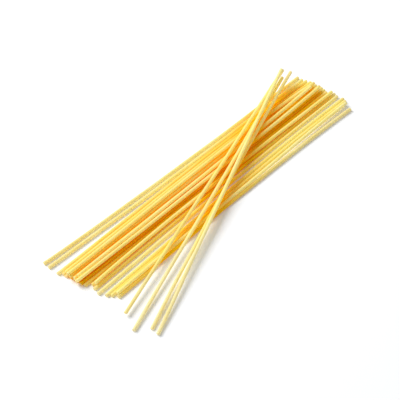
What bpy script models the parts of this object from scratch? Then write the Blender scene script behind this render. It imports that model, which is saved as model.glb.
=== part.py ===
"""A bundle of dry spaghetti, lying loose on a flat surface.

Most of the strands lie side by side in a low pile, up to three deep, and fan out a little at both
ends. A few lie apart on either side of the pile. Four more lie slantwise across it: each leans on
the highest strands of the pile and holds its far end in the air.

The pile is one solid. Each strand of it is a rib, with the strand's own round back at the strand's
own height and with straight sides down to the surface, and the ribs are fused where strands touch.
The strands beside the pile and across it are round rods.

+X runs along the bundle to its far ends, +Y to its left and +Z up. The origin is the middle of the
bottom. The table of strands is in millimetres, and the meshes are in metres.
"""

from collections import namedtuple

import bmesh
import bpy
import numpy as np

MM = 0.001

# Driving sizes, in millimetres.
STRAND_WIDTH = 2.5
TOUCH_GAP = 0.3  # between the solids of two strands that touch
FUSE_WIDTH = 0.7  # how much wider than its strand a rib is, so that neighbours run together
RAGGED_END = 0.7  # how far an end may lie out of its bunch's line
UNDERCUT = 1.0  # how far ribs reach below the surface before the bottom is trimmed flat
RIB_SECTIONS = 8  # sections along a rib
BACK_FACETS = 6  # facets over a rib's round back
ROD_POINTS = 7  # points along a rod
STATIONS = 121  # places along a strand at which its height over others is tested
SEED = 5

STRAND_COLOUR = (0.86, 0.63, 0.21, 1.0)
LOOSE_COLOUR = (0.88, 0.68, 0.28, 1.0)
STRAND_ROUGHNESS = 0.42

# A bunch is a few strands that lie evenly side by side. The first is the one furthest left, and
# near and far are the (x, y) places of the first and of the last strand's ends. Bow is how far the
# first and the last strand bend out to the left of the straight line between their ends, and crest
# is where along the strands they bend out furthest.
Bunch = namedtuple("Bunch", "name count near far bow crest", defaults=(0.5,))


def single(name, near, far, bow, crest=0.5):
    """A bunch of one strand."""
    return Bunch(name, 1, (near, near), (far, far), (bow, bow), crest)


# In the order in which they are laid. The strands named pile are fused into the bundle.
BUNCHES = (
    # On the surface, from left to right.
    single("left", (-130.0, 47.2), (123.5, 40.4), -1.5, 0.4),
    single("left", (-130.0, 42.3), (123.9, 36.6), -0.9, 0.4),
    single("left", (-129.6, 33.9), (124.8, 33.4), 1.5, 0.64),
    Bunch("pile", 7, ((-127.2, 30.9), (-123.7, 13.6)), ((126.8, 30.4), (127.4, 15.1)), (1.3, 0.5), 0.64),
    Bunch("pile", 2, ((-119.8, 10.2), (-121.6, 6.6)), ((127.8, 12.3), (130.2, 9.4)), (0.8, 0.9)),
    single("right", (-122.0, 1.9), (129.3, 6.3), 1.4, 0.6),
    Bunch("right", 2, ((-119.0, -3.1), (-117.4, -5.8)), ((129.6, 1.6), (130.4, -1.3)), (1.9, 1.9), 0.6),
    single("right", (-114.4, -9.6), (126.0, -9.1), 2.2, 0.6),
    # In the grooves between those.
    single("pile", (-125.9, 29.9), (124.8, 28.6), 2.2, 0.66),
    Bunch("pile", 3, ((-125.8, 24.6), (-126.2, 18.8)), ((122.1, 24.5), (124.2, 19.0)), (1.3, -0.2)),
    single("pile", (-118.3, 8.6), (128.0, 11.1), 1.7, 0.4),
    single("right", (-113.6, -7.9), (127.6, -3.4), 0.5),
    # On top.
    single("pile", (-127.4, 26.0), (122.8, 25.3), 2.8, 0.66),
    Bunch("pile", 2, ((-123.4, 20.2), (-125.6, 17.5)), ((118.7, 23.5), (122.0, 19.6)), (-0.9, -1.2)),
    # Across the bundle.
    single("across", (-121.2, -24.0), (112.6, 46.8), 0.4),
    single("across", (-126.4, -36.8), (107.0, 42.2), 0.3),
    single("across", (-117.1, -44.6), (115.8, 41.6), 2.0),
    single("across", (-117.5, -50.4), (110.0, 45.9), 0.5),
)


def fan_out(bunch, rng):
    """Each strand of a bunch as a line seen from above: its x and y at every station."""
    along = np.linspace(0.0, 1.0, STATIONS)
    bend = along ** (np.log(0.5) / np.log(bunch.crest))
    ragged = RAGGED_END if bunch.count > 1 else 0.0
    lines = []
    for share in np.linspace(0.0, 1.0, bunch.count):
        near = np.array(bunch.near[0]) * (1 - share) + np.array(bunch.near[1]) * share
        far = np.array(bunch.far[0]) * (1 - share) + np.array(bunch.far[1]) * share
        near[0] += rng.uniform(-ragged, ragged)
        far[0] += rng.uniform(-ragged, ragged)
        bow = bunch.bow[0] * (1 - share) + bunch.bow[1] * share
        line = near + (far - near) * along[:, None]
        line[:, 1] += bow * 4 * bend * (1 - bend)
        lines.append(line)
    return lines


def height_needed(line, lower):
    """Lowest height of a strand's axis at each station that clears the surface and lower strands."""
    needed = np.full(STATIONS, STRAND_WIDTH / 2)
    for other in lower:
        beside = np.interp(line[:, 0], other[:, 0], other[:, 1], left=np.inf, right=np.inf)
        slope = np.interp(line[:, 0], other[:, 0], np.gradient(other[:, 1], other[:, 0]))
        apart = np.abs(line[:, 1] - beside) * np.cos(np.arctan(slope))
        over = apart < STRAND_WIDTH
        height = np.interp(line[over, 0], other[:, 0], other[:, 2])
        lift = np.sqrt(STRAND_WIDTH**2 - apart[over] ** 2)
        needed[over] = np.maximum(needed[over], height + lift)
    return needed


def rest_on(needed):
    """Heights of a stiff strand that comes to rest on two supports, one each side of its middle.

    Of all pairs of supports it rests on the two that hold its middle highest.
    """
    along = np.linspace(0.0, 1.0, STATIONS)
    half = STATIONS // 2
    near, far = np.meshgrid(np.arange(half), np.arange(half + 1, STATIONS), indexing="ij")
    rise = (needed[far] - needed[near]) / (along[far] - along[near])
    middle = needed[near] + rise * (0.5 - along[near])
    best = np.unravel_index(np.argmax(middle), middle.shape)
    return middle[best] + rise[best] * (along - 0.5)


def lay_strands(bunches):
    """Every strand's axis as x, y and z at each station, laid one after another, by bunch name.

    All of them are then moved so that the middle of the space they take up is over the origin.
    """
    rng = np.random.default_rng(SEED)
    laid = []
    named = {}
    for bunch in bunches:
        for line in fan_out(bunch, rng):
            axis = np.column_stack((line, rest_on(height_needed(line, laid))))
            laid.append(axis)
            named.setdefault(bunch.name, []).append(axis)
    points = np.concatenate(laid)
    middle = (points.min(axis=0) + points.max(axis=0)) / 2
    for axis in laid:
        axis[:, :2] -= middle[:2]
    return named


def sections_of(axis, count):
    """The axis at a few evenly spaced stations."""
    return axis[np.linspace(0, STATIONS - 1, count).round().astype(int)]


def material(name, colour):
    """A plain glossy finish."""
    finish = bpy.data.materials.new(name)
    finish.use_nodes = True
    shader = finish.node_tree.nodes["Principled BSDF"]
    shader.inputs["Base Color"].default_value = colour
    shader.inputs["Roughness"].default_value = STRAND_ROUGHNESS
    shader.inputs["Metallic"].default_value = 0.0
    return finish


def collection(name):
    """A new collection in the scene."""
    group = bpy.data.collections.new(name)
    bpy.context.scene.collection.children.link(group)
    return group


def rib(name, axis, depth, group):
    """One strand of the pile as a loft: its round back on straight sides that go down to depth."""
    half_width = (STRAND_WIDTH + FUSE_WIDTH) / 2
    back_height = (STRAND_WIDTH - TOUCH_GAP) / 2
    turn = np.linspace(0.0, np.pi, BACK_FACETS + 1)
    mesh = bpy.data.meshes.new(name)
    shape = bmesh.new()
    rings = []
    for x, y, z in sections_of(axis, RIB_SECTIONS):
        sides = y + half_width * np.cos(turn)
        tops = z + back_height * np.sin(turn)
        outline = [(x, side, top) for side, top in zip(sides, tops)]
        outline += [(x, y - half_width, -depth), (x, y + half_width, -depth)]
        rings.append([shape.verts.new(np.array(point) * MM) for point in outline])
    shape.faces.new(rings[0])
    shape.faces.new(reversed(rings[-1]))
    for here, after in zip(rings, rings[1:]):
        for k in range(len(here)):
            nxt = (k + 1) % len(here)
            shape.faces.new((here[k], after[k], after[nxt], here[nxt]))
    bmesh.ops.recalc_face_normals(shape, faces=shape.faces)
    shape.to_mesh(mesh)
    shape.free()
    piece = bpy.data.objects.new(name, mesh)
    group.objects.link(piece)
    return piece


def as_cutter(piece):
    """Marks a piece as a construction aid."""
    piece.hide_render = True
    piece.display_type = "WIRE"


def ground_block(axes, group):
    """A block whose top is the surface, wider and longer than the pile."""
    points = np.concatenate(axes)
    low, high = points.min(axis=0), points.max(axis=0)
    middle = (low + high) / 2
    size = high - low + 8 * STRAND_WIDTH
    depth = 4 * UNDERCUT
    bpy.ops.mesh.primitive_cube_add(size=1.0)
    block = bpy.context.object
    block.name = "ground_block"
    block.scale = (size[0] * MM, size[1] * MM, depth * MM)
    block.location = (middle[0] * MM, middle[1] * MM, -depth / 2 * MM)
    for old in block.users_collection:
        old.objects.unlink(block)
    group.objects.link(block)
    as_cutter(block)
    return block


def fuse(piece, operation, name, **operand):
    """An exact Boolean on the piece."""
    step = piece.modifiers.new(name, "BOOLEAN")
    step.operation = operation
    step.solver = "EXACT"
    for key, value in operand.items():
        setattr(step, key, value)


def make_bundle(axes, parts, cutters):
    """The pile: all ribs fused into one solid with a flat bottom."""
    ribs = collection("pile_ribs")
    bundle = rib("bundle", axes[0], UNDERCUT, parts)
    for number, axis in enumerate(axes[1:], start=2):
        depth = UNDERCUT * (1 + number / len(axes))
        as_cutter(rib(f"rib_{number:02d}", axis, depth, ribs))
    fuse(bundle, "UNION", "join ribs", operand_type="COLLECTION", collection=ribs)
    fuse(bundle, "DIFFERENCE", "flat bottom", object=ground_block(axes, cutters))
    bundle.data.materials.append(material("bundle_pasta", STRAND_COLOUR))


def make_rod(name, axis, parts, finish):
    """A loose strand, as a round rod that keeps half the touching gap inside its real surface."""
    curve = bpy.data.curves.new(name, "CURVE")
    curve.dimensions = "3D"
    curve.bevel_depth = (STRAND_WIDTH - TOUCH_GAP) / 2 * MM
    curve.bevel_resolution = 2
    curve.use_fill_caps = True
    spline = curve.splines.new("POLY")
    points = sections_of(axis, ROD_POINTS) * MM
    spline.points.add(len(points) - 1)
    for point, place in zip(spline.points, points):
        point.co = (*place, 1.0)
    rod = bpy.data.objects.new(name, curve)
    rod.data.materials.append(finish)
    parts.objects.link(rod)


def main():
    for old in list(bpy.data.objects):
        bpy.data.objects.remove(old)
    parts = collection("spaghetti_bundle")
    strands = lay_strands(BUNCHES)
    make_bundle(strands.pop("pile"), parts, collection("cutters"))
    finish = material("loose_pasta", LOOSE_COLOUR)
    for name, axes in strands.items():
        for number, axis in enumerate(axes, start=1):
            make_rod(f"{name}_strand_{number}", axis, parts, finish)


main()
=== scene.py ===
"""Dry spaghetti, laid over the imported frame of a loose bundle.

Every strand is a slim rod of pasta with two cut ends. The frame holds the pile as one solid and the
loose strands as plain rods. The strands are laid here by the frame's own rule and table, take the
place of those solids, and get a translucent finish. A studio with a floor, a lamp and a camera
comes last.
"""

from collections import namedtuple

import bpy
import numpy as np
from bpy.props import (
    FloatProperty,
    FloatVectorProperty,
    IntProperty,
    PointerProperty,
)
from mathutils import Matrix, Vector


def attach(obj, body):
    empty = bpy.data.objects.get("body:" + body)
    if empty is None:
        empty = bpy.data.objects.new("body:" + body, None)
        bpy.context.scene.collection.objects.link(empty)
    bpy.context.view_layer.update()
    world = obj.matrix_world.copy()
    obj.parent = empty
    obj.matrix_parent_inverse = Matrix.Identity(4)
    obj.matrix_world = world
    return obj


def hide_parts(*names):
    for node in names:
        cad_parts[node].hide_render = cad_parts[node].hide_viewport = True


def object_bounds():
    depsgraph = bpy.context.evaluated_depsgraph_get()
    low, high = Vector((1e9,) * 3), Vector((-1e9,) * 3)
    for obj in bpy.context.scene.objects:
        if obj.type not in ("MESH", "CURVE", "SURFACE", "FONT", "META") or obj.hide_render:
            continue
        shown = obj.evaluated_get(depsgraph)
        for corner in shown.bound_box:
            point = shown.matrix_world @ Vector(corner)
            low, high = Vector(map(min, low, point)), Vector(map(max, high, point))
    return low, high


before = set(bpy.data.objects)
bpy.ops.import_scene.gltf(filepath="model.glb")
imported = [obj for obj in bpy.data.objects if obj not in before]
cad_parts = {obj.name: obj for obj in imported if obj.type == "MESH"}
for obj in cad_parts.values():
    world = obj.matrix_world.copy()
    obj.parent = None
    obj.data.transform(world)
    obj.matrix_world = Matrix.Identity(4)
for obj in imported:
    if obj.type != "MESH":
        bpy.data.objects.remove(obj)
cad_box = [list(corner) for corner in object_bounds()]

bl_info = {
    "name": "Dry Spaghetti Bundle",
    "version": (1, 0, 0),
    "blender": (4, 5, 0),
    "location": "View3D > Sidebar > Spaghetti",
    "description": "Lays strands of dry spaghetti over a bundle's frame and sets up a studio",
    "category": "Add Mesh",
}

MM = 0.001
BODY = "root"

# How the strands are laid, as in the frame. All in millimetres.
STRAND_WIDTH = 2.5
RAGGED_END = 0.7  # how far an end may lie out of its bunch's line
STATIONS = 121  # places along a strand at which its height over others is tested
LAY_SEED = 5

# A bunch is a few strands that lie evenly side by side. The first is the one furthest left, and
# near and far are the (x, y) places of the first and of the last strand's ends. Bow is how far the
# first and the last strand bend out to the left of the straight line between their ends, and crest
# is where along the strands they bend out furthest.
Bunch = namedtuple("Bunch", "name count near far bow crest", defaults=(0.5,))


def single(name, near, far, bow, crest=0.5):
    """A bunch of one strand."""
    return Bunch(name, 1, (near, near), (far, far), (bow, bow), crest)


# In the order in which they are laid.
BUNCHES = (
    # On the surface, from left to right.
    single("left", (-130.0, 47.2), (123.5, 40.4), -1.5, 0.4),
    single("left", (-130.0, 42.3), (123.9, 36.6), -0.9, 0.4),
    single("left", (-129.6, 33.9), (124.8, 33.4), 1.5, 0.64),
    Bunch("pile", 7, ((-127.2, 30.9), (-123.7, 13.6)), ((126.8, 30.4), (127.4, 15.1)), (1.3, 0.5), 0.64),
    Bunch("pile", 2, ((-119.8, 10.2), (-121.6, 6.6)), ((127.8, 12.3), (130.2, 9.4)), (0.8, 0.9)),
    single("right", (-122.0, 1.9), (129.3, 6.3), 1.4, 0.6),
    Bunch("right", 2, ((-119.0, -3.1), (-117.4, -5.8)), ((129.6, 1.6), (130.4, -1.3)), (1.9, 1.9), 0.6),
    single("right", (-114.4, -9.6), (126.0, -9.1), 2.2, 0.6),
    # In the grooves between those.
    single("pile", (-125.9, 29.9), (124.8, 28.6), 2.2, 0.66),
    Bunch("pile", 3, ((-125.8, 24.6), (-126.2, 18.8)), ((122.1, 24.5), (124.2, 19.0)), (1.3, -0.2)),
    single("pile", (-118.3, 8.6), (128.0, 11.1), 1.7, 0.4),
    single("right", (-113.6, -7.9), (127.6, -3.4), 0.5),
    # On top.
    single("pile", (-127.4, 26.0), (122.8, 25.3), 2.8, 0.66),
    Bunch("pile", 2, ((-123.4, 20.2), (-125.6, 17.5)), ((118.7, 23.5), (122.0, 19.6)), (-0.9, -1.2)),
    # Across the bundle.
    single("across", (-121.2, -24.0), (112.6, 46.8), 0.4),
    single("across", (-126.4, -36.8), (107.0, 42.2), 0.3),
    single("across", (-117.1, -44.6), (115.8, 41.6), 2.0),
    single("across", (-117.5, -50.4), (110.0, 45.9), 0.5),
)

# How a strand's surface is made.
SWINGS = 4  # sine waves in a slow wave
RIM_RINGS = 4  # rings round the edge of a cut end

# Where the closeness and the covering of a strand begin and stop changing its colour, as painted bounce
# light and painted shade.
BOUNCE_RANGE = (0.12, 0.42)
SHADE_RANGE = (0.2, 0.52)

# A pattern on the dough is soft noise that is finer across a strand than along it by the stretch.
Pattern = namedtuple("Pattern", "stretch scale detail")
STREAKS = Pattern(16.0, 60.0, 2.0)
CLOUDS = Pattern(1.0, 45.0, 2.0)
FLOUR = Pattern(1.6, 1500.0, 1.0)
BRAN = Pattern(1.3, 800.0, 1.0)
GRIT = Pattern(4.0, 900.0, 3.0)
SOFT_RANGE = (0.3, 0.7)  # what streaks and clouds span, nearly everywhere
FLOUR_RANGE = (0.66, 0.76)  # only the peaks of the noise are flecks
BRAN_RANGE = (0.75, 0.8)

DUST_ON_CUTS = 0.5  # how floury a cut end is
DULLER_CUTS = 0.3  # how much rougher a cut end is
DULLER_STREAKS = (-0.06, 0.08)  # how much smoother or rougher the streaks are
RELIEF = 0.25  # how strongly the grit turns the light
INNER_TINT = 0.4  # the power of the dough's colour that tints light on its way in or out

FLOOR_ROUGHNESS = 0.9
FLOOR_GLOSS = 0.2
SENSOR = 36.0  # the camera sensor's width in millimetres
FAR_ENOUGH = 100.0  # metres that the camera sees
BOUNCES = 48  # of light, on the strands and in them
ALL_BOUNCES = 64


# Laying the strands.


def fan_out(bunch, rng):
    """Each strand of a bunch as a line seen from above: its x and y at every station.

    A strand's ends lie on the straight lines between the first and the last strand's ends. Between
    them it bends to the left by bow times 4 t (1 - t), where t grows from 0 to 1 along the strand
    as a power that makes it one half at the crest.
    """
    along = np.linspace(0.0, 1.0, STATIONS)
    bend = along ** (np.log(0.5) / np.log(bunch.crest))
    ragged = RAGGED_END if bunch.count > 1 else 0.0
    lines = []
    for share in np.linspace(0.0, 1.0, bunch.count):
        near = np.array(bunch.near[0]) * (1 - share) + np.array(bunch.near[1]) * share
        far = np.array(bunch.far[0]) * (1 - share) + np.array(bunch.far[1]) * share
        near[0] += rng.uniform(-ragged, ragged)
        far[0] += rng.uniform(-ragged, ragged)
        bow = bunch.bow[0] * (1 - share) + bunch.bow[1] * share
        line = near + (far - near) * along[:, None]
        line[:, 1] += bow * 4 * bend * (1 - bend)
        lines.append(line)
    return lines


def height_needed(line, lower):
    """Lowest height of a strand's axis at each station that clears the surface and lower strands.

    Over a strand that runs a distance apart beside it, the axis is higher than that strand's by
    the other leg of a right triangle whose long side is the strand's width.
    """
    needed = np.full(STATIONS, STRAND_WIDTH / 2)
    for other in lower:
        beside = np.interp(line[:, 0], other[:, 0], other[:, 1], left=np.inf, right=np.inf)
        slope = np.interp(line[:, 0], other[:, 0], np.gradient(other[:, 1], other[:, 0]))
        apart = np.abs(line[:, 1] - beside) * np.cos(np.arctan(slope))
        over = apart < STRAND_WIDTH
        height = np.interp(line[over, 0], other[:, 0], other[:, 2])
        lift = np.sqrt(STRAND_WIDTH**2 - apart[over] ** 2)
        needed[over] = np.maximum(needed[over], height + lift)
    return needed


def rest_on(needed):
    """Heights of a stiff strand that comes to rest on two supports, one each side of its middle.

    Of all pairs of supports it rests on the two that hold its middle highest, on the straight
    line through them.
    """
    along = np.linspace(0.0, 1.0, STATIONS)
    half = STATIONS // 2
    near, far = np.meshgrid(np.arange(half), np.arange(half + 1, STATIONS), indexing="ij")
    rise = (needed[far] - needed[near]) / (along[far] - along[near])
    middle = needed[near] + rise * (0.5 - along[near])
    best = np.unravel_index(np.argmax(middle), middle.shape)
    return middle[best] + rise[best] * (along - 0.5)


def lay_strands(bunches):
    """Every strand's axis as x, y and z at each station, laid one after another.

    All of them are then moved so that the middle of the space they take up is over the origin.
    With the axes come the numbers of each bunch name's strands.
    """
    rng = np.random.default_rng(LAY_SEED)
    laid = []
    named = {}
    for bunch in bunches:
        for line in fan_out(bunch, rng):
            axis = np.column_stack((line, rest_on(height_needed(line, laid))))
            named.setdefault(bunch.name, []).append(len(laid))
            laid.append(axis)
    points = np.concatenate(laid)
    middle = (points.min(axis=0) + points.max(axis=0)) / 2
    for axis in laid:
        axis[:, :2] -= middle[:2]
    return laid, named


# The shape of a strand.


def unit(vectors):
    """The same directions at length one."""
    return vectors / np.linalg.norm(vectors, axis=-1, keepdims=True)


def read_along(distance, travelled, values):
    """Rows of values, known at the travelled distances, read off at other distances."""
    return np.column_stack([np.interp(distance, travelled, column) for column in values.T])


def slow_wave(along, rng):
    """A smooth random line along a strand, about one high.

    It is the sum of sine waves with one, two and more swings over the strand, each as high as one
    over its number of swings, with random phases.
    """
    number = np.arange(1, SWINGS + 1)[:, None]
    phase = rng.uniform(0, 2 * np.pi, (SWINGS, 1))
    return (np.sin(2 * np.pi * number * along + phase) / number).sum(axis=0)


def ring_places(length, settings):
    """Where the rings of a strand stand: their distances along it and their shares of its radius.

    The rings of a cut face lie at one distance and grow evenly. A quarter of a circle rounds the
    face's rim. The rings of the side are evenly spaced at full radius, and the far end mirrors
    the near one. With them comes which rings lie on a cut face.
    """
    quarter = np.linspace(0.0, np.pi / 2, RIM_RINGS)
    rim = settings.rim
    face_rings = settings.face_rings
    rim_share = rim / (settings.width / 2)
    end_share = np.concatenate(
        (
            (1 - rim_share) * np.arange(1, face_rings + 1) / (face_rings + 1),
            1 - rim_share * (1 - np.sin(quarter)),
        )
    )
    end_distance = np.concatenate((np.zeros(face_rings), rim * (1 - np.cos(quarter))))
    side = np.linspace(rim, length - rim, settings.stations)[1:-1]
    distance = np.concatenate((end_distance, side, length - end_distance[::-1]))
    share = np.concatenate((end_share, np.ones(len(side)), end_share[::-1]))
    ring = np.arange(len(distance))
    on_face = np.minimum(ring, ring[::-1]) < face_rings
    return distance, share, on_face


def grid_faces(rings, sides):
    """Quads between each ring and the next, and a fan of triangles from each end's middle point.

    The points are numbered ring by ring, and the two middle points come last.
    """
    ring, side = np.meshgrid(np.arange(rings - 1), np.arange(sides), indexing="ij")
    here = ring * sides + side
    beside = ring * sides + (side + 1) % sides
    quads = np.stack((here, beside, beside + sides, here + sides), axis=-1).reshape(-1, 4)
    first = np.arange(sides)
    second = (first + 1) % sides
    last = (rings - 1) * sides
    near_fan = np.column_stack((second, first, np.full(sides, rings * sides)))
    far_fan = np.column_stack((last + first, last + second, np.full(sides, rings * sides + 1)))
    return quads, np.concatenate((near_fan, far_fan))


def way_to(points, axis):
    """The shortest way from each point to another strand's axis, its length and the strand's reach.

    The length is at least the strand's radius. The reach is 1 beside the strand and falls to 0
    past its ends. All in millimetres.
    """
    slope = np.gradient(axis, axis[:, 0], axis=0)
    along = unit(read_along(points[:, 0], axis[:, 0], slope))
    way = read_along(points[:, 0], axis[:, 0], axis) - points
    way[:, 0] = 0.0
    way -= (way * along).sum(axis=1, keepdims=True) * along
    overlap = np.minimum(points[:, 0] - axis[0, 0], axis[-1, 0] - points[:, 0]) / STRAND_WIDTH
    length = np.maximum(np.linalg.norm(way, axis=1), STRAND_WIDTH / 2)
    return way, length, np.clip(overlap + 0.5, 0.0, 1.0)


def covering(points, others):
    """The share of what lies above each point of an axis that other strands fill, from 0 to 1.

    A long straight rod fills its radius over the distance to its axis, times the sine of how
    steeply that axis lies above. The rods' shares are added up, and one minus e to the minus that
    sum keeps the whole below one.
    """
    total = np.zeros(len(points))
    for axis in others:
        way, distance, reach = way_to(points, axis)
        total += STRAND_WIDTH / 2 / distance * np.maximum(way[:, 2] / distance, 0.0) * reach
    return 1 - np.exp(-total)


def closeness(points, others):
    """How closely other strands lie around each point of an axis, from 0 to 1.

    It is one minus e to the minus the sum of the squares of radius over distance.
    """
    total = np.zeros(len(points))
    for axis in others:
        _, distance, reach = way_to(points, axis)
        total += (STRAND_WIDTH / 2 / distance) ** 2 * reach
    return 1 - np.exp(-total)


def strand_surface(axis, others, settings, rng):
    """One strand's points in metres, which of its rings lie on a face, and what its finish reads.

    The surface is a slightly oval circle carried along the strand's axis: axis point plus radius
    times (cosine of the turn to the side plus sine of the turn upwards). The radius swells and
    shrinks slowly, and the axis wanders slowly to the sides. Each cut is a little out of square,
    which fades along the strand as e to the minus distance over width, and its face is rough.
    """
    travelled = np.concatenate(([0.0], np.cumsum(np.linalg.norm(np.diff(axis, axis=0), axis=1)))) * MM
    length = travelled[-1]
    distance, share, on_face = ring_places(length, settings)
    sides = settings.sides
    along = distance / length

    centre = read_along(distance, travelled, axis * MM)
    forward = unit(read_along(distance, travelled, np.gradient(axis, axis=0)))
    aside = unit(np.cross((0.0, 0.0, 1.0), forward))
    upward = np.cross(forward, aside)
    centre = centre + aside * (settings.wander * slow_wave(along, rng))[:, None]

    turn = np.linspace(0.0, 2 * np.pi, sides, endpoint=False)
    width = settings.width * (1 + settings.width_spread * rng.uniform(-1, 1))
    swell = 1 + settings.swell * slow_wave(along, rng)
    oval = 1 + settings.oval * np.cos(2 * turn + rng.uniform(0, np.pi))
    radius = (width / 2 * share * swell)[:, None] * oval
    across = radius * np.cos(turn)
    over = radius * np.sin(turn)

    near_cut, far_cut = np.tan(rng.normal(0.0, settings.cut_angle, (2, 2)))
    near_fade = np.exp(-distance / width)[:, None]
    far_fade = np.exp(-(length - distance) / width)[:, None]
    lean = near_fade * (near_cut[0] * across + near_cut[1] * over)
    lean += far_fade * (far_cut[0] * across + far_cut[1] * over)
    lean += on_face[:, None] * rng.normal(0.0, settings.face_relief, (len(distance), sides))

    points = (
        centre[:, None]
        + across[..., None] * aside[:, None]
        + over[..., None] * upward[:, None]
        + lean[..., None] * forward[:, None]
    )
    poles = centre[[0, -1]]
    grain = np.stack((np.repeat(distance[:, None], sides, axis=1), across, over), axis=-1)
    grain_poles = np.column_stack((distance[[0, -1]], (0.0, 0.0), (0.0, 0.0)))
    grain_points = np.concatenate((grain.reshape(-1, 3), grain_poles))
    grain_points += rng.uniform(0.0, 1.0, 3)
    face_share = np.concatenate((np.repeat(np.where(on_face, 1.0, 0.0), sides), (1.0, 1.0)))
    # How closely others lie sets the share of painted bounce light in the colour.
    painted_bounce = closeness(centre / MM, others)
    # How much others cover a strand sets the share of painted shade in the colour.
    shade_cover = covering(centre / MM, others)
    return {
        "points": np.concatenate((points.reshape(-1, 3), poles)),
        "on_face": on_face,
        "grain": grain_points,
        "cut": face_share,
        "close": np.append(np.repeat(painted_bounce, sides), painted_bounce[[0, -1]]),
        "under": np.append(np.repeat(shade_cover, sides), shade_cover[[0, -1]]),
        "tone": np.full(len(grain_points), rng.uniform(0.0, 1.0)),
    }


def strands_mesh(name, numbers, laid, settings):
    """One mesh of the numbered strands of all that are laid, with the values their finish reads.

    Each strand draws its own random numbers, from its number in the whole bundle. The sides are
    shaded smooth and the cut faces flat.
    """
    strands, quads, fans, smooth = [], [], [], []
    count = 0
    for number in numbers:
        rng = np.random.default_rng((settings.seed, number))
        others = laid[:number] + laid[number + 1 :]
        strand = strand_surface(laid[number], others, settings, rng)
        on_face = strand["on_face"]
        strand_quads, strand_fans = grid_faces(len(on_face), settings.sides)
        strands.append(strand)
        quads.append(strand_quads + count)
        fans.append(strand_fans + count)
        smooth.append(np.repeat(~(on_face[:-1] | on_face[1:]), settings.sides))
        count += len(strand["points"])
    joined = {key: np.concatenate([strand[key] for strand in strands]) for key in strands[0]}
    quads = np.concatenate(quads)
    fans = np.concatenate(fans)
    mesh = bpy.data.meshes.new(name)
    mesh.from_pydata(joined["points"].tolist(), [], quads.tolist() + fans.tolist())
    flags = np.concatenate((*smooth, np.zeros(len(fans), bool)))
    mesh.polygons.foreach_set("use_smooth", flags)
    grain = mesh.attributes.new("grain", "FLOAT_VECTOR", "POINT")
    grain.data.foreach_set("vector", joined["grain"].astype(np.float32).ravel())
    for key in ("cut", "close", "under", "tone"):
        layer = mesh.attributes.new(key, "FLOAT", "POINT")
        layer.data.foreach_set("value", joined[key].astype(np.float32))
    mesh.update()
    return mesh


# The finish.


def node(tree, kind, place, **values):
    """A shader node at a place in the tree, with its settings."""
    made = tree.nodes.new(kind)
    made.location = place
    for key, value in values.items():
        setattr(made, key, value)
    return made


def attribute(tree, name, place):
    """A node that reads one of the mesh's own values."""
    return node(tree, "ShaderNodeAttribute", place, attribute_name=name, attribute_type="GEOMETRY")


def patterned(tree, grain, pattern, height):
    """A pattern's soft random patches, from 0 to 1, on the strand's own coordinates.

    The coordinates are scaled by 1 along the strand, and by the stretch to the side and upwards.
    """
    mapping = node(tree, "ShaderNodeMapping", (-1200, height))
    mapping.inputs["Scale"].default_value = (1.0, pattern.stretch, pattern.stretch)
    tree.links.new(grain, mapping.inputs["Vector"])
    made = node(tree, "ShaderNodeTexNoise", (-1000, height))
    made.inputs["Scale"].default_value = pattern.scale
    made.inputs["Detail"].default_value = pattern.detail
    tree.links.new(mapping.outputs["Vector"], made.inputs["Vector"])
    return made.outputs["Fac"]


def ranged(tree, source, known, wanted, place):
    """A value moved from a known range to a wanted one and held inside it."""
    made = node(tree, "ShaderNodeMapRange", place, clamp=True)
    for socket, value in zip(("From Min", "From Max", "To Min", "To Max"), (*known, *wanted)):
        made.inputs[socket].default_value = value
    tree.links.new(source, made.inputs["Value"])
    return made.outputs["Result"]


def added(tree, first, second, place):
    """The sum of two values."""
    made = node(tree, "ShaderNodeMath", place, operation="ADD")
    tree.links.new(first, made.inputs[0])
    tree.links.new(second, made.inputs[1])
    return made.outputs[0]


def mixed(tree, share, first, second, place):
    """Two colours mixed by a share. Each is a socket or an (r, g, b) value."""
    made = node(tree, "ShaderNodeMix", place, data_type="RGBA")
    tree.links.new(share, made.inputs["Factor"])
    for socket, colour in zip((made.inputs[6], made.inputs[7]), (first, second)):
        if isinstance(colour, bpy.types.NodeSocket):
            tree.links.new(colour, socket)
        else:
            socket.default_value = (*colour, 1.0)
    return made.outputs[2]


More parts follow.
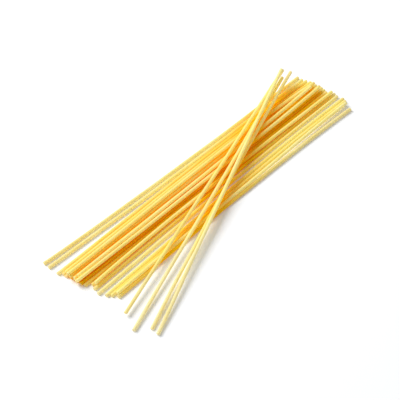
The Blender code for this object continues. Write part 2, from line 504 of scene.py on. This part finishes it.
def dough_and_painted_light(tree, finish, attributes, streaks, clouds):
    """The dough's colour, with its flecks and its floury cut ends.

    The colour goes from that of a loose strand to a painted bounce-light colour by how closely
    others lie around it, and on to a painted deep-orange shade by how much other strands cover it,
    in place of light bounced between strands, shadow under them and light filtered through dough.
    It is then raised to a power of about one, which varies by long faint streaks, by soft clouds
    and from strand to strand. Flecks of flour are paler, flecks of bran are browner, and the cut
    ends are floury.
    """
    whole = (0.0, 1.0)
    # Painted bounce light: strands among others get a brighter, deeper colour in place of light bounced
    # between them.
    painted_bounce = ranged(tree, attributes["close"], BOUNCE_RANGE, whole, (-850, 900))
    dough = mixed(tree, painted_bounce, finish.loose, finish.painted_bounce, (-650, 800))
    # Painted shade: strands that others cover turn deep orange in place of their shadow and of light
    # filtered through dough.
    shade_mask = ranged(tree, attributes["under"], SHADE_RANGE, whole, (-850, 700))
    dough = mixed(tree, shade_mask, dough, finish.painted_shade, (-450, 600))

    power = (1 - finish.streaks, 1 + finish.streaks)
    power = ranged(tree, attributes["tone"], whole, power, (-850, 200))
    for source, height in ((streaks, 0), (clouds, 100)):
        more = ranged(tree, source, SOFT_RANGE, (-finish.streaks, finish.streaks), (-850, height))
        power = added(tree, power, more, (-650, 300 + height))
    deeper = node(tree, "ShaderNodeGamma", (-250, 400))
    tree.links.new(dough, deeper.inputs["Color"])
    tree.links.new(power, deeper.inputs["Gamma"])
    dough = deeper.outputs["Color"]

    flour = patterned(tree, attributes["grain"], FLOUR, -400)
    flour = ranged(tree, flour, FLOUR_RANGE, (0.0, finish.flecks), (-700, -400))
    dough = mixed(tree, flour, dough, finish.flour, (-50, 200))
    bran = patterned(tree, attributes["grain"], BRAN, -600)
    bran = ranged(tree, bran, BRAN_RANGE, (0.0, finish.flecks), (-700, -600))
    dough = mixed(tree, bran, dough, finish.bran, (150, 200))
    dusty = ranged(tree, attributes["cut"], whole, (0.0, DUST_ON_CUTS), (150, 500))
    return mixed(tree, dusty, dough, finish.flour, (350, 200))


def pasta(name, finish):
    """Dried durum dough: satin, faintly streaked along the strand, speckled and translucent.

    The cut ends are dull. A share of the light goes through the dough, and is tinted less on its
    way in or out than what the surface throws back.
    """
    made = bpy.data.materials.new(name)
    made.use_nodes = True
    tree = made.node_tree
    shader = tree.nodes["Principled BSDF"]
    shader.location = (600, 0)
    attributes = {"grain": attribute(tree, "grain", (-1400, 0)).outputs["Vector"]}
    for count, key in enumerate(("tone", "cut", "under", "close")):
        attributes[key] = attribute(tree, key, (-1400, 300 + 200 * count)).outputs["Fac"]

    streaks = patterned(tree, attributes["grain"], STREAKS, 0)
    clouds = patterned(tree, attributes["grain"], CLOUDS, -200)
    dough = dough_and_painted_light(tree, finish, attributes, streaks, clouds)
    tree.links.new(dough, shader.inputs["Base Color"])

    rough = tuple(finish.roughness + more for more in DULLER_STREAKS)
    rough = ranged(tree, streaks, SOFT_RANGE, rough, (0, -200))
    duller = ranged(tree, attributes["cut"], (0.0, 1.0), (0.0, DULLER_CUTS), (0, -350))
    tree.links.new(added(tree, rough, duller, (200, -200)), shader.inputs["Roughness"])

    bump = node(tree, "ShaderNodeBump", (200, -450))
    bump.inputs["Strength"].default_value = RELIEF
    bump.inputs["Distance"].default_value = finish.grit
    tree.links.new(patterned(tree, attributes["grain"], GRIT, -800), bump.inputs["Height"])
    tree.links.new(bump.outputs["Normal"], shader.inputs["Normal"])

    shader.inputs["IOR"].default_value = finish.ior
    shader.inputs["Specular IOR Level"].default_value = finish.gloss

    paler = node(tree, "ShaderNodeGamma", (450, 450))
    paler.inputs["Gamma"].default_value = INNER_TINT
    tree.links.new(dough, paler.inputs["Color"])
    through = node(tree, "ShaderNodeBsdfTranslucent", (450, 300))
    tree.links.new(paler.outputs["Color"], through.inputs["Color"])
    both = node(tree, "ShaderNodeMixShader", (700, 100))
    both.inputs["Fac"].default_value = finish.translucency
    tree.links.new(shader.outputs["BSDF"], both.inputs[1])
    tree.links.new(through.outputs["BSDF"], both.inputs[2])
    output = tree.nodes["Material Output"]
    output.location = (900, 100)
    tree.links.new(both.outputs["Shader"], output.inputs["Surface"])
    return made


# Settings.


def colour_property(name, description, default):
    """A colour as a user sees it in a picker."""
    return FloatVectorProperty(
        name=name, description=description, default=default, subtype="COLOR", size=3, min=0.0, max=1.0
    )


class SpaghettiStrand(bpy.types.PropertyGroup):
    """The size and unevenness of a strand."""

    width: FloatProperty(
        name="Width",
        description="How thick a strand is",
        default=STRAND_WIDTH * MM,
        unit="LENGTH",
        precision=5,
    )
    width_spread: FloatProperty(
        name="Width spread",
        description="How much thicker or thinner than that a strand may be",
        default=0.02,
        subtype="FACTOR",
    )
    swell: FloatProperty(
        name="Swell",
        description="How much a strand swells and shrinks along its length",
        default=0.006,
        subtype="FACTOR",
    )
    oval: FloatProperty(
        name="Oval",
        description="How far the strand is from round",
        default=0.012,
        subtype="FACTOR",
    )
    wander: FloatProperty(
        name="Wander",
        description="How far a strand bends to the sides of its line",
        default=0.12 * MM,
        unit="LENGTH",
        precision=5,
    )
    rim: FloatProperty(
        name="Rim",
        description="How far the edge of a cut end is rounded",
        default=0.1 * MM,
        unit="LENGTH",
        precision=5,
    )
    cut_angle: FloatProperty(
        name="Cut angle",
        description="How far a cut end is out of square, on average",
        default=0.1,
        subtype="ANGLE",
    )
    face_relief: FloatProperty(
        name="Face relief",
        description="How rough a cut end is",
        default=0.02 * MM,
        unit="LENGTH",
        precision=5,
    )
    sides: IntProperty(name="Sides", description="Faces around a strand", default=24, min=8)
    stations: IntProperty(name="Stations", description="Rings along a strand", default=66, min=8)
    face_rings: IntProperty(name="Face rings", description="Rings on a cut end", default=3, min=1)
    seed: IntProperty(name="Seed", description="Start of the strands' random numbers", default=11)


class SpaghettiFinish(bpy.types.PropertyGroup):
    """The colours and gloss of dried pasta."""

    loose: colour_property("Loose", "The colour of a strand that lies alone", (0.94, 0.83, 0.39))
    # The colour of a strand among others is painted bounce light, not a colour of the dough.
    painted_bounce: colour_property("Packed", "The colour of a strand among others", (0.997, 0.915, 0.32))
    flour: colour_property("Flour", "Flecks of flour, and the cut ends", (0.99, 0.91, 0.60))
    bran: colour_property("Bran", "Flecks of bran", (0.80, 0.58, 0.22))
    # The colour of a strand under others is painted shade, not a colour of the dough.
    painted_shade: colour_property("Amber", "The colour of a strand under others", (0.999, 0.70, 0.001))
    streaks: FloatProperty(
        name="Streaks",
        description="How much the depth of colour varies by streaks, clouds and from strand to strand",
        default=0.15,
        subtype="FACTOR",
    )
    flecks: FloatProperty(
        name="Flecks", description="How strong the flecks are", default=0.1, subtype="FACTOR"
    )
    roughness: FloatProperty(
        name="Roughness", description="How dull the side of a strand is", default=0.4, subtype="FACTOR"
    )
    translucency: FloatProperty(
        name="Translucency",
        description="How much of the light goes through the dough",
        default=0.4,
        subtype="FACTOR",
    )
    ior: FloatProperty(name="IOR", description="How strongly the dough bends light", default=1.45)
    gloss: FloatProperty(
        name="Gloss", description="How strongly the surface mirrors", default=0.2, subtype="FACTOR"
    )
    grit: FloatProperty(
        name="Grit",
        description="How high the fine relief of the surface is",
        default=0.015 * MM,
        unit="LENGTH",
        precision=5,
    )


class SpaghettiStudio(bpy.types.PropertyGroup):
    """The floor, the lamp and the camera."""

    floor: colour_property("Floor", "The colour of the floor", (0.94, 0.95, 0.97))
    floor_size: FloatProperty(
        name="Floor size", description="How wide the floor is", default=12.0, unit="LENGTH"
    )
    sky: FloatProperty(name="Sky", description="How bright the pale room is", default=0.5)
    sky_tint: colour_property("Sky tint", "The colour of the pale room", (0.98, 0.99, 1.0))
    lamp_power: FloatProperty(
        name="Lamp power", description="How strong the lamp is", default=41.0, unit="POWER"
    )
    lamp_size: FloatProperty(
        name="Lamp size", description="How wide the lamp is", default=1.375, unit="LENGTH"
    )
    lamp_distance: FloatProperty(
        name="Lamp distance", description="How far the lamp is from the bundle", default=2.0, unit="LENGTH"
    )
    lamp_turn: FloatProperty(
        name="Lamp turn",
        description="Which way the lamp stands from the bundle, from +X towards +Y",
        default=np.radians(104.0),
        subtype="ANGLE",
    )
    lamp_rise: FloatProperty(
        name="Lamp rise",
        description="How steeply the lamp looks down",
        default=np.radians(46.0),
        subtype="ANGLE",
    )
    view_turn: FloatProperty(
        name="View turn",
        description="Which way the camera looks, from +Y towards +X",
        default=np.radians(46.0),
        subtype="ANGLE",
    )
    view_rise: FloatProperty(
        name="View rise",
        description="How steeply the camera looks down",
        default=np.radians(50.0),
        subtype="ANGLE",
    )
    view_distance: FloatProperty(
        name="View distance", description="How far the camera is", default=1.112, unit="LENGTH"
    )
    view_aim: FloatVectorProperty(
        name="View aim",
        description="Where the camera looks, from the box's middle, in shares of its sides",
        default=(-0.055, 0.1223, -0.5),
    )
    lens: FloatProperty(name="Lens", description="The camera's focal length", default=141.3, unit="CAMERA")


# Operators.


def add_strands(context, name, numbers, laid, slot, replaced):
    """Makes one piece of the numbered strands, in the place of the frame's solids."""
    scene = context.scene
    mesh = strands_mesh(name, numbers, laid, scene.spaghetti_strand)
    dough = f"{slot}_dough"
    finish = bpy.data.materials.get(dough) or pasta(dough, scene.spaghetti_finish)
    mesh.materials.append(finish)
    piece = bpy.data.objects.new(name, mesh)
    scene.collection.objects.link(piece)
    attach(piece, BODY)
    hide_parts(*replaced)


def add_loose_strands(context, side):
    """Makes a piece for each loose strand on one side, in the place of its rod."""
    laid, named = lay_strands(BUNCHES)
    for count, number in enumerate(named[side], start=1):
        rod = f"{side}_strand_{count}"
        add_strands(context, f"spaghetti_{side}_{count}", [number], laid, "loose_pasta", [rod])


class SPAGHETTI_OT_pile(bpy.types.Operator):
    """Lay the strands of the pile, in the place of the frame's solid bundle"""

    bl_idname = "spaghetti.pile"
    bl_label = "Pile"

    def execute(self, context):
        laid, named = lay_strands(BUNCHES)
        add_strands(context, "spaghetti_pile", named["pile"], laid, "bundle_pasta", ["bundle"])
        return {"FINISHED"}


class SPAGHETTI_OT_left(bpy.types.Operator):
    """Lay the strands that lie apart to the left of the pile"""

    bl_idname = "spaghetti.left"
    bl_label = "Left Strands"

    def execute(self, context):
        add_loose_strands(context, "left")
        return {"FINISHED"}


class SPAGHETTI_OT_right(bpy.types.Operator):
    """Lay the strands that lie apart to the right of the pile"""

    bl_idname = "spaghetti.right"
    bl_label = "Right Strands"

    def execute(self, context):
        add_loose_strands(context, "right")
        return {"FINISHED"}


class SPAGHETTI_OT_across(bpy.types.Operator):
    """Lay the strands that lie slantwise across the pile"""

    bl_idname = "spaghetti.across"
    bl_label = "Strands Across"

    def execute(self, context):
        add_loose_strands(context, "across")
        return {"FINISHED"}


def add_floor(scene, studio):
    """A plain square floor under the bundle."""
    half = studio.floor_size / 2
    corners = np.array(((-1, -1, 0), (1, -1, 0), (1, 1, 0), (-1, 1, 0))) * half
    mesh = bpy.data.meshes.new("floor")
    mesh.from_pydata(corners.tolist(), [], [(0, 1, 2, 3)])
    paint = bpy.data.materials.new("floor_paint")
    paint.use_nodes = True
    shader = paint.node_tree.nodes["Principled BSDF"]
    shader.inputs["Base Color"].default_value = (*studio.floor, 1.0)
    shader.inputs["Roughness"].default_value = FLOOR_ROUGHNESS
    shader.inputs["Specular IOR Level"].default_value = FLOOR_GLOSS
    mesh.materials.append(paint)
    floor = bpy.data.objects.new("floor", mesh)
    scene.collection.objects.link(floor)


def add_sky(scene, studio):
    """An even pale room around the bundle."""
    world = bpy.data.worlds.new("room")
    world.use_nodes = True
    background = world.node_tree.nodes["Background"]
    background.inputs["Color"].default_value = (*studio.sky_tint, 1.0)
    background.inputs["Strength"].default_value = studio.sky
    scene.world = world


def turned_to(item, place, target):
    """Puts a lamp or a camera in its place, looking at the target with its top up."""
    item.location = place
    item.rotation_euler = (target - place).to_track_quat("-Z", "Y").to_euler()


def add_lamp(scene, studio, target):
    """One broad soft lamp."""
    light = bpy.data.lights.new("soft_box", "AREA")
    light.shape = "DISK"
    light.size = studio.lamp_size
    light.energy = studio.lamp_power
    lamp = bpy.data.objects.new("soft_box", light)
    scene.collection.objects.link(lamp)
    flat = np.cos(studio.lamp_rise)
    toward = Vector(
        (flat * np.cos(studio.lamp_turn), flat * np.sin(studio.lamp_turn), np.sin(studio.lamp_rise))
    )
    turned_to(lamp, target + toward * studio.lamp_distance, target)


def add_camera(scene, studio, target):
    """A camera with a long lens."""
    camera = bpy.data.objects.new("camera", bpy.data.cameras.new("camera"))
    camera.data.lens = studio.lens
    camera.data.sensor_width = SENSOR
    camera.data.clip_end = FAR_ENOUGH
    scene.collection.objects.link(camera)
    flat = np.cos(studio.view_rise)
    backward = Vector(
        (-flat * np.sin(studio.view_turn), -flat * np.cos(studio.view_turn), np.sin(studio.view_rise))
    )
    turned_to(camera, target + backward * studio.view_distance, target)
    scene.camera = camera


class SPAGHETTI_OT_studio(bpy.types.Operator):
    """Set up the floor, the room, the lamp and the camera"""

    bl_idname = "spaghetti.studio"
    bl_label = "Studio"

    def execute(self, context):
        scene = context.scene
        studio = scene.spaghetti_studio
        low, high = (np.array(corner) for corner in cad_box)
        target = Vector((low + high) / 2 + (high - low) * np.array(studio.view_aim))
        add_floor(scene, studio)
        add_sky(scene, studio)
        add_lamp(scene, studio, target)
        add_camera(scene, studio, target)
        scene.view_settings.view_transform = "Standard"
        scene.cycles.diffuse_bounces = BOUNCES
        scene.cycles.transmission_bounces = BOUNCES
        scene.cycles.max_bounces = ALL_BOUNCES
        return {"FINISHED"}


PIECES = (SPAGHETTI_OT_pile, SPAGHETTI_OT_left, SPAGHETTI_OT_right, SPAGHETTI_OT_across, SPAGHETTI_OT_studio)
SETTINGS = {
    "spaghetti_strand": SpaghettiStrand,
    "spaghetti_finish": SpaghettiFinish,
    "spaghetti_studio": SpaghettiStudio,
}


class SPAGHETTI_PT_bundle(bpy.types.Panel):
    """The bundle's settings and steps"""

    bl_label = "Spaghetti"
    bl_idname = "SPAGHETTI_PT_bundle"
    bl_space_type = "VIEW_3D"
    bl_region_type = "UI"
    bl_category = "Spaghetti"

    def draw(self, context):
        layout = self.layout
        for name, group in SETTINGS.items():
            box = layout.box()
            for key in group.__annotations__:
                box.prop(getattr(context.scene, name), key)
        for step in PIECES:
            layout.operator(step.bl_idname)


CLASSES = (*SETTINGS.values(), *PIECES, SPAGHETTI_PT_bundle)


def register():
    for cls in CLASSES:
        bpy.utils.register_class(cls)
    for name, group in SETTINGS.items():
        setattr(bpy.types.Scene, name, PointerProperty(type=group))


def unregister():
    for name in SETTINGS:
        delattr(bpy.types.Scene, name)
    for cls in reversed(CLASSES):
        bpy.utils.unregister_class(cls)


def main():
    """Builds the bundle and its studio."""
    register()
    bpy.ops.spaghetti.pile()
    bpy.ops.spaghetti.left()
    bpy.ops.spaghetti.right()
    bpy.ops.spaghetti.across()
    bpy.ops.spaghetti.studio()


if __name__ == "__main__":
    main()
